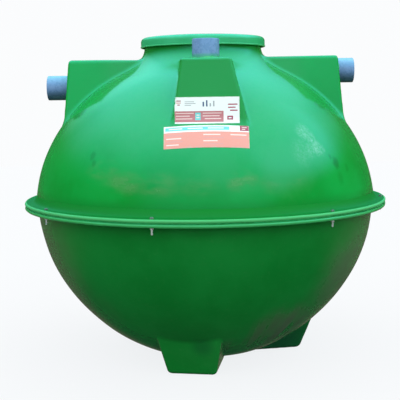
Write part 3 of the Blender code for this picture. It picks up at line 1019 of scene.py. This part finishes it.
def add_node(kind, inputs, **settings):
    """Adds a node to the tree that holds its inputs, of which one at least is a socket."""
    tree = next(value.id_data for value in inputs.values() if isinstance(value, bpy.types.NodeSocket))
    node = tree.nodes.new("ShaderNode" + kind)
    for name, value in settings.items():
        setattr(node, name, value)
    feed(node, inputs)
    return node


def mix(factor, a, b, blend="MIX"):
    """Goes from colour a to colour b as the factor rises to one."""
    a, b = (c if isinstance(c, bpy.types.NodeSocket) else (*c, 1.0) for c in (a, b))
    return add_node("Mix", {0: factor, 6: a, 7: b}, data_type="RGBA", blend_type=blend).outputs[2]


def maths(operation, *values):
    return add_node("Math", dict(enumerate(values)), operation=operation).outputs[0]


def plus(a, b):
    return maths("ADD", a, b)


def minus(a, b):
    return maths("SUBTRACT", a, b)


def times(a, b):
    return maths("MULTIPLY", a, b)


def most(a, b):
    return maths("MAXIMUM", a, b)


def vectors(operation, inputs, out="Vector"):
    return add_node("VectorMath", inputs, operation=operation).outputs[out]


def split(vector):
    return tuple(add_node("SeparateXYZ", {0: vector}).outputs)


def fade(value, low, high, to_low=0.0, to_high=1.0):
    """Turns a value between low and high into a soft step."""
    inputs = {"Value": value, "From Min": low, "From Max": high, "To Min": to_low, "To Max": to_high}
    return add_node("MapRange", inputs, interpolation_type="SMOOTHSTEP").outputs[0]


def noise(place, scale, detail=3.0, roughness=0.5, distortion=0.0, out="Fac"):
    inputs = {"Vector": place, "Scale": scale, "Detail": detail, "Roughness": roughness}
    return add_node("TexNoise", {**inputs, "Distortion": distortion}).outputs[out]


def stretched(place, scale, turn=(0.0, 0.0, 0.0)):
    return add_node("Mapping", {"Vector": place, "Rotation": turn, "Scale": scale}).outputs[0]


def bump(height, strength, distance, **under):
    inputs = {"Height": height, "Strength": strength, "Distance": distance}
    return add_node("Bump", {**inputs, **under}).outputs[0]


def geometry(place, output):
    """What the geometry node says at a place: its Normal or its Position."""
    return split(place.id_data.nodes.new("ShaderNodeNewGeometry").outputs[output])


def new_material(name):
    """A material, its shader and the place on its piece."""
    material = bpy.data.materials.new(name)
    material.use_nodes = True
    nodes = material.node_tree.nodes
    return material, nodes["Principled BSDF"], nodes.new("ShaderNodeTexCoord").outputs["Object"]


def clouded(place, scale, deep, fresh, low=0.35, high=0.65):
    """Two colours mixed by a soft noise, and that noise."""
    cloud = noise(place, scale, 4.0, 0.6)
    return mix(fade(cloud, low, high), deep, fresh), cloud


def gelcoat(place, scale, deep, fresh):
    return clouded(place, scale, deep, fresh, 0.36, 0.66)[0]


def spread(value, low, high):
    """Brings a noise between two values of roughness."""
    return fade(value, 0.3, 0.7, low, high)


def dust_on(place, grain, low, high):
    """Grains of dust, more of them where the surface faces up."""
    return times(fade(geometry(place, "Normal")[2], low, high), fade(grain, 0.30, 0.80))


def spot_mask(place, centre, inner, outer, flatness):
    """One inside a flat ellipsoid, fading to nothing at its outer radius."""
    offset = vectors("SUBTRACT", {0: place, 1: centre})
    squeezed = vectors("MULTIPLY", {0: offset, 1: (1.0, 1.0, flatness)})
    return fade(vectors("LENGTH", {0: squeezed}, "Value"), inner, outer, 1.0, 0.0)


def ragged_place(place, scale, reach):
    """The place moved about by a slow noise, so that what is drawn by it gets an uneven outline."""
    cloud = noise(place, scale, 4.0, 0.65, out="Color")
    centred = vectors("SUBTRACT", {0: cloud, 1: (0.5, 0.5, 0.5)})
    return vectors("ADD", {0: place, 1: vectors("SCALE", {0: centred, "Scale": reach})})


def on_shell(bearing, height):
    """A point of the dome or the bowl by its bearing and height."""
    if height > DOME_CENTRE:
        radius = DOME_RADIUS * math.sqrt(1.0 - ((height - DOME_CENTRE) / DOME_RISE) ** 2)
    else:
        down = (BOWL_CENTRE - height) / BOWL_DEPTH
        radius = BOWL_RADIUS * (1.0 - down ** BOWL_POWER) ** (1.0 / BOWL_POWER)
    angle = math.radians(bearing)
    return (radius * math.sin(angle), -radius * math.cos(angle), height)


def blotches(place, marks, flatness=1.0):
    """The strongest of several soft spots: (bearing, height, radius, strength)."""
    total = 0.0
    for bearing, height, radius, strength in marks:
        one = spot_mask(place, on_shell(bearing, height), radius * 0.25, radius, flatness)
        total = most(total, times(one, strength))
    return total


def reach_from_axis(x, y):
    return maths("SQRT", plus(times(x, x), times(y, y)))


def dome_paint():
    """Glossy green gelcoat, paler higher up with chalky bloom and a painted sky reflection, with dust, brown
    marks and scuffs, painted shade under the lid, dirt and painted shade near the flange, and a worn lip
    with a painted highlight.
    """
    material, shader, place = new_material("dome_gelcoat")
    x, y, z = split(place)
    reach = reach_from_axis(x, y)
    uneven = ragged_place(place, 6.0, 0.22)
    nudged = ragged_place(place, 40.0, 0.020)
    wandering = ragged_place(place, 11.0, 0.060)
    colour = gelcoat(place, 2.6, DOME_DEEP, DOME_FRESH)
    # Paler higher up and in spots, as chalky bloom and a painted sky reflection, held off at the side seats
    # and under the lid
    side_seats = times(fade(maths("ABSOLUTE", x), 0.38, 0.50), fade(z, 1.08, 1.18))
    under_lid = times(fade(reach, 0.330, 0.290), fade(z, 1.39, 1.43))
    less_bloom_and_sheen = most(times(side_seats, 0.75), times(under_lid, 0.90))
    bloom_and_sheen = most(fade(split(uneven)[2], 0.90, 1.16), blotches(uneven, BLOOM_AND_SHEEN_SPOTS))
    colour = mix(times(bloom_and_sheen, minus(1.0, less_bloom_and_sheen)), colour, DOME_BLOOM_AND_SHEEN)
    smear = noise(stretched(place, (11.0, 11.0, 24.0)), 1.0, 3.0, 0.55)
    marks = times(blotches(wandering, BROWN_MARKS, 2.0), fade(smear, 0.32, 0.68))
    colour = mix(times(marks, 0.42), colour, BROWN_STAIN)
    colour = mix(blotches(nudged, DARK_MARKS, 0.7), colour, DARK_SPOT)
    speckle = noise(place, 90.0, 4.0, 0.75)
    scuffs = blotches(nudged, SCUFFS, 0.8)
    scuffed = times(scuffs, fade(speckle, 0.40, 0.66, 0.15, 0.60))
    colour = mix(scuffed, colour, SCUFF_PALE)
    colour = mix(times(times(scuffs, fade(speckle, 0.42, 0.36)), 0.5), colour, DOME_DEEP)
    grain = noise(place, 46.0, 5.0, 0.7)
    colour = mix(times(dust_on(place, grain, 0.25, 0.95), 0.06), colour, DOME_DUST)
    colour = mix(times(under_lid, 0.45), colour, NECK_SHADE)
    # Dirt and painted shade darken the dome towards the flange
    colour = mix(fade(z, UPPER_TOP + 0.075, UPPER_TOP + ROOT_RISE, 0.0, 0.8), colour, FLANGE_DIRT_AND_SHADE)
    # Paler rolled lip: worn edge and painted highlight
    colour = mix(fade(reach, 0.833, 0.841), colour, LIP_WEAR_AND_HIGHLIGHT)
    rough = plus(spread(grain, 0.11, 0.15), times(most(marks, scuffed), 0.20))
    rough = plus(rough, fade(reach, 0.7870, 0.7930, 0.0, 0.30))
    rough = plus(rough, times(fade(reach, 0.828, 0.838), 0.16))
    feed(shader, {"Base Color": colour, "Roughness": rough})
    return material


def ledge_dirt_and_shade():
    """Matt dirt on the flange and the fillet above it, with painted shade that darkens it towards the crease
    where they meet.
    """
    material, shader, place = new_material("ledge_dirt_and_shade")
    cloud = noise(place, 8.0, 4.0, 0.6)
    colour = mix(fade(cloud, 0.35, 0.65, 0.0, 0.25), FLANGE_DIRT_AND_SHADE, DOME_DEEP)
    # Painted shade, darker towards the foot of the crease
    level = fade(split(place)[2], UPPER_TOP + ROOT_RISE, UPPER_TOP + 0.004)
    colour = mix(times(level, 0.6), colour, CREASE_DIRT_AND_SHADE)
    feed(shader, {"Base Color": colour, "Roughness": 0.45, "Specular IOR Level": 0.08})
    return material


def bowl_paint():
    """The same gelcoat painted darker as the underside's shade, with dry mud on it, wiped in streaks low on
    the right, painted shade on the feet and a worn lip with a painted highlight.
    """
    material, shader, place = new_material("bowl_gelcoat")
    x, y, z = split(place)
    # Darker than the dome's gelcoat: painted shade of the underside
    colour = gelcoat(place, 2.8, BOWL_SHADED_DEEP, BOWL_SHADED_FRESH)
    bearing = maths("ARCTAN2", x, times(y, -1.0))
    fan = add_node("CombineXYZ", {0: times(bearing, 8.0), 1: times(z, 3.0)}).outputs[0]
    streak = noise(fan, 1.0, 3.0, 0.50, 0.2)
    patch = noise(place, 6.0, 3.0, 0.55)
    wiped = times(blotches(place, WIPED), fade(streak, 0.36, 0.62))
    muddy = times(blotches(place, MUDDY), fade(patch, 0.36, 0.64, 0.35, 1.0))
    low_film = times(fade(z, 0.42, 0.12), fade(patch, 0.35, 0.65, 0.3, 0.8))
    mud = most(most(wiped, muddy), times(low_film, 0.05))
    colour = mix(mud, colour, MUD)
    # Painted shade on the feet under the bowl
    colour = mix(blotches(place, FOOT_SHADE_SPOTS), colour, FOOT_SHADE)
    grain = noise(place, 60.0, 5.0, 0.7)
    colour = mix(times(fade(grain, 0.52, 0.75), 0.06), colour, BOWL_DUST)
    # Paler rolled lip: worn edge and painted highlight
    rolled = fade(reach_from_axis(x, y), 0.832, 0.842)
    colour = mix(times(rolled, 0.75), colour, LIP_WEAR_AND_HIGHLIGHT)
    rough = plus(spread(grain, 0.19, 0.22), times(mud, 0.25))
    feed(shader, {"Base Color": colour, "Roughness": rough})
    return material


def lid_paint():
    """Satin gelcoat, paler along the lip as wear and a painted highlight, and where dust lies on the crown.
    """
    material, shader, place = new_material("lid_gelcoat")
    colour = gelcoat(place, 6.0, LID_DEEP, LID_FRESH)
    # Paler lip: worn edge and painted highlight
    lip = fade(split(place)[2], LID_SKIRT_BOTTOM + 0.009, LID_SKIRT_BOTTOM + 0.005)
    colour = mix(times(lip, 0.6), colour, LIP_WEAR_AND_HIGHLIGHT)
    grain = noise(place, 55.0, 5.0, 0.7)
    colour = mix(times(dust_on(place, grain, 0.3, 1.0), 0.16), colour, LID_DUST)
    feed(shader, {"Base Color": colour, "Roughness": spread(grain, 0.18, 0.26)})
    return material


def bare_laminate():
    """The inside: resin over a mat of chopped strands that show as pale hairs."""
    material, shader, place = new_material("bare_laminate")
    hairs = 0.0
    for turn in ((0.3, 0.5, 1.1), (1.2, 0.2, 0.4), (0.6, 1.3, 2.1)):
        strand = noise(stretched(place, (14.0, 190.0, 190.0), turn), 1.0, 2.0, 0.5)
        hairs = most(hairs, fade(strand, 0.56, 0.68))
    colour, cloud = clouded(place, 9.0, *LAMINATE_COLOURS)
    colour = mix(times(hairs, 0.5), colour, STRAND)
    lumps = bump(noise(place, 40.0), 0.3, 0.002)
    relief = bump(hairs, 0.35, 0.0006, Normal=lumps)
    feed(shader, {"Base Color": colour, "Roughness": spread(cloud, 0.34, 0.55), "Normal": relief})
    return material


def bead_resin():
    """Green resin put on by brush round the pipes."""
    material, shader, place = new_material("bead_resin")
    colour, cloud = clouded(place, 60.0, *RESIN_COLOURS)
    relief = bump(noise(place, 150.0), 0.3, 0.0012)
    feed(shader, {"Base Color": colour, "Roughness": spread(cloud, 0.22, 0.38), "Normal": relief})
    return material


def pipe_plastic():
    """Blue grey plastic, dusty on top, painted darker below as shade and smeared with resin where it leaves
    the front seat.
    """
    material, shader, place = new_material("pvc_blue")
    colour, cloud = clouded(place, 30.0, *PLASTIC_COLOURS, 0.35, 0.7)
    scratch = noise(stretched(place, (40.0, 300.0, 300.0)), 1.0, 3.0, 0.6)
    colour = mix(fade(scratch, 0.62, 0.75, 0.0, 0.4), colour, SCRATCH)
    upward = geometry(place, "Normal")[2]
    colour = mix(fade(upward, 0.30, 0.95, 0.0, 0.45), colour, PIPE_DUST)
    # Painted shade: darker where the pipe faces down
    colour = mix(fade(upward, 0.05, -0.75, 0.0, 0.70), colour, PIPE_UNDERSIDE_SHADE)
    _, depth, height = geometry(place, "Position")
    smeared = times(fade(height, FRONT_TOP + 0.024, FRONT_TOP + 0.010), fade(depth, -0.30, -0.35))
    colour = mix(times(smeared, 0.75), colour, RESIN_SMEAR)
    relief = bump(scratch, 0.05, 0.0005)
    feed(shader, {"Base Color": colour, "Roughness": spread(cloud, 0.24, 0.34), "Normal": relief})
    return material


def sealant_rubber():
    material, shader, place = new_material("seal_sealant")
    colour, cloud = clouded(place, 60.0, *SEALANT_COLOURS, 0.35, 0.7)
    feed(shader, {"Base Color": colour, "Roughness": 0.75, "Normal": bump(cloud, 0.4, 0.001)})
    return material


def zinc():
    """Dull zinc plating, stained in spots and dirty on the heads."""
    material, shader, place = new_material("bolt_zinc")
    colour, cloud = clouded(place, 220.0, *ZINC_COLOURS)
    stain = fade(noise(place, 90.0, 3.0, 0.6), 0.5, 0.7)
    head = fade(split(place)[2], UPPER_TOP - 0.002, UPPER_TOP)
    colour = mix(most(times(stain, 0.5), times(head, 0.75)), colour, BOLT_DIRT)
    rough = spread(cloud, 0.35, 0.6)
    relief = bump(cloud, 0.15, 0.0003)
    feed(shader, {"Base Color": colour, "Metallic": 0.35, "Roughness": rough, "Normal": relief})
    return material


def within(value, low, high):
    return maths("COMPARE", value, (low + high) / 2, (high - low) / 2)


def printed(across, down, colour, blocks):
    """Prints blocks on a colour: (left, right, top, bottom in mm from the film's corner, ink)."""
    for left, right, top, bottom, ink in blocks:
        wide = within(across, left / 1000, right / 1000)
        tall = within(down, top / 1000, bottom / 1000)
        colour = mix(times(wide, tall), colour, ink)
    return colour


def film_paint(name, box, arch, ground, blocks, fading):
    """Printed film, dulled by dust and worn at its edges."""
    material, shader, place = new_material(name)
    left, right, top, bottom = box
    x, _, z = split(place)
    waver = times(minus(noise(place, 120.0, 2.0), 0.5), 0.0012)
    across = plus(minus(x, left), waver)
    side = times(minus(x, (left + right) / 2), 2.0 / (right - left))
    down = minus(minus(top, times(times(side, side), arch)), z)
    colour = printed(across, down, ground, blocks)
    edge_x = maths("MINIMUM", across, minus(right - left, across))
    edge_z = maths("MINIMUM", down, minus(top - bottom, down))
    rim = fade(maths("MINIMUM", edge_x, edge_z), 0.006, 0.0)
    blot = noise(place, 60.0, 4.0, 0.65)
    worn = most(times(rim, fade(blot, 0.40, 0.62)), fade(blot, 0.60, 0.78, 0.0, 0.6))
    colour = mix(times(worn, fading), colour, FILM_WORN)
    relief = bump(noise(place, 34.0), 0.12, 0.001)
    feed(shader, {"Base Color": colour, "Roughness": spread(blot, 0.34, 0.50), "Normal": relief})
    return material


# Camera, floor and light


def add_camera():
    data = bpy.data.cameras.new("camera")
    data.sensor_width = SENSOR_MM
    data.lens = FOCAL_PIXELS / IMAGE_SIDE * SENSOR_MM
    data.clip_start = 0.05
    camera = bpy.data.objects.new("camera", data)
    bpy.context.scene.collection.objects.link(camera)
    turn = Matrix.Rotation(-CAMERA_YAW, 4, "Z") @ Matrix.Rotation(math.pi / 2 - CAMERA_PITCH, 4, "X")
    camera.matrix_world = Matrix.Translation(CAMERA_SPOT) @ turn @ Matrix.Rotation(CAMERA_ROLL, 4, "Z")
    bpy.context.scene.camera = camera


def add_floor():
    """A pale floor that takes the tank's shadow and throws no light of its own onto the tank."""
    corners = [(x * FLOOR_REACH, y * FLOOR_REACH, -0.0005) for x, y in ((-1, -1), (1, -1), (1, 1), (-1, 1))]
    floor = add_mesh("floor", corners, [(0, 1, 2, 3)])
    material, shader, _ = new_material("pale_floor")
    feed(shader, {"Base Color": FLOOR_COLOUR, "Roughness": 0.9, "Specular IOR Level": 0.0})
    feed(shader, {"Emission Color": FLOOR_GLOW, "Emission Strength": 0.86})
    floor.data.materials.append(material)
    floor.visible_diffuse = False
    floor.visible_glossy = False


def glow(direction, towards, degrees):
    """One towards a direction, fading to nothing at an angle from it."""
    along = vectors("DOT_PRODUCT", {0: direction, 1: towards}, "Value")
    return fade(along, math.cos(math.radians(degrees)), 1.0)


def soft_light(direction):
    """The light on matt surfaces: a pale sky, brighter in front and on the right, over a dim ground."""
    x, y, z = split(direction)
    lean = plus(minus(times(x, RIGHT_SHARE), times(y, FRONT_SHARE)), 1.0)
    return mix(fade(z, -0.10, 0.10), SOFT_GROUND, vectors("SCALE", {0: SOFT_SKY, "Scale": lean}))


def gloss_light(direction):
    """What glossy surfaces mirror: a bright top that comes lower in front, over a dark horizon."""
    x, y, z = split(direction)
    ground = mix(fade(y, -0.2, 0.5), GLOSS_GROUND, GLOSS_REAR)
    ground = mix(fade(z, -0.35, -0.62), ground, GLOSS_PIT)
    horizon = mix(fade(y, -0.1, 0.6), GLOSS_HORIZON, GLOSS_BACK)
    low = mix(fade(z, -0.20, 0.02), ground, horizon)
    flat = vectors("NORMALIZE", {0: add_node("CombineXYZ", {0: x, 1: y, 2: 0.0}).outputs[0]})
    ahead = fade(times(split(flat)[1], -1.0), 0.5, 1.0)
    aside = fade(vectors("DOT_PRODUCT", {0: flat, 1: RIGHT_TOWARDS}, "Value"), 0.6, 0.95)
    lowest = minus(0.23, times(ahead, 0.45))
    span = minus(plus(0.70, times(ahead, 0.72)), times(aside, 0.40))
    gloss = mix(fade(maths("DIVIDE", minus(z, lowest), span), 0.0, 1.0), low, GLOSS_SKY)
    gloss = mix(glow(direction, WINDOW_TOWARDS, 20), gloss, GLOSS_WINDOW, "ADD")
    return mix(glow(direction, SIDE_TOWARDS, 24), gloss, GLOSS_SIDE, "ADD")


def add_world():
    """Studio light, one kind for matt surfaces and one for gloss, and the backdrop that the camera sees."""
    world = bpy.data.worlds.new("studio")
    bpy.context.scene.world = world
    world.use_nodes = True
    world.cycles.sampling_method = "NONE"
    nodes = world.node_tree.nodes
    nodes.clear()
    direction = nodes.new("ShaderNodeTexCoord").outputs["Generated"]
    ray = nodes.new("ShaderNodeLightPath").outputs
    light = mix(ray["Is Glossy Ray"], soft_light(direction), gloss_light(direction))
    light = mix(ray["Is Camera Ray"], light, BACKDROP)
    shine = add_node("Background", {"Color": light, "Strength": 1.0})
    feed(nodes.new("ShaderNodeOutputWorld"), {"Surface": shine.outputs[0]})


def dress(piece, body, material, slot, *nodes):
    piece.data.materials.clear()
    piece.data.materials.append(material)
    if nodes:
        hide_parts(*nodes)
    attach(piece, body)


def dress_mouldings():
    laminate = bare_laminate()
    upper = make_upper_moulding()
    dress(upper, "tank", dome_paint(), "dome_gelcoat", "upper_shell")
    line_inside(upper, upper_outside, upper_inside, laminate)
    line_ledge(upper, ledge_dirt_and_shade())
    true_normals(upper, upper_outside, upper_inside)
    lower = make_lower_moulding()
    dress(lower, "tank", bowl_paint(), "bowl_gelcoat", "lower_shell")
    line_inside(lower, lower_outside, lower_inside, laminate)
    true_normals(lower, lower_outside, lower_inside)
    dress(make_lid(), "lid", lid_paint(), "lid_gelcoat", "manhole_lid")
    dress(make_sealant(), "tank", sealant_rubber(), "seal_sealant", "joint_seal")


def dress_pipes():
    plastic = pipe_plastic()
    for pipe, node in zip(make_pipes(), ("inlet_pipe", "outlet_pipe", "vent_pipe")):
        dress(pipe, "tank", plastic, "pvc_blue", node)
    resin = bead_resin()
    beads = (
        make_bead("inlet_fillet", (SEAT_FACE, 0.0, INLET_HEIGHT), (1, 0, 0)),
        make_bead("outlet_fillet", (-SEAT_FACE, 0.0, OUTLET_HEIGHT), (-1, 0, 0)),
        make_bead("vent_fillet", (VENT_X, VENT_Y, FRONT_TOP), (0, 0, 1)),
    )
    for bead in beads:
        dress(bead, "tank", resin, "dome_gelcoat")


def dress_bolts():
    metal = zinc()
    rng = np.random.default_rng(5)
    meshes = None
    for number, bearing in enumerate(BOLT_BEARINGS, 1):
        names = (f"bolt_{number}", f"nut_{number}")
        if meshes is None:
            pieces = (make_bolt(names[0]), make_nut(names[1]))
            meshes = [piece.data for piece in pieces]
        else:
            pieces = [bpy.data.objects.new(name, mesh) for name, mesh in zip(names, meshes)]
            for piece in pieces:
                bpy.context.scene.collection.objects.link(piece)
        for piece, node in zip(pieces, (f"flange_bolt_{number}", f"flange_nut_{number}")):
            piece.location = bolt_spot(bearing)
            piece.rotation_euler.z = rng.uniform(0, math.tau)
            dress(piece, "tank", metal, "bolt_zinc", node)
    dress(make_washers(), "tank", metal, "bolt_zinc")


def dress_films():
    sheet = film_paint("label_sheet", SHEET_BOX, 0.0, FILM_WHITE, SHEET_BLOCKS, 0.35)
    banner = film_paint("label_banner", BANNER_BOX, BANNER_ARCH, FILM_SALMON, BANNER_BLOCKS, 0.55)
    dress(make_film("label_upper", SHEET_BOX, 0.0), "tank", sheet, "label_film")
    dress(make_film("label_lower", BANNER_BOX, BANNER_ARCH), "tank", banner, "label_film")


def main():
    bpy.context.scene.view_settings.view_transform = "Standard"
    add_camera()
    add_floor()
    add_world()
    dress_mouldings()
    dress_pipes()
    dress_bolts()
    dress_films()


main()
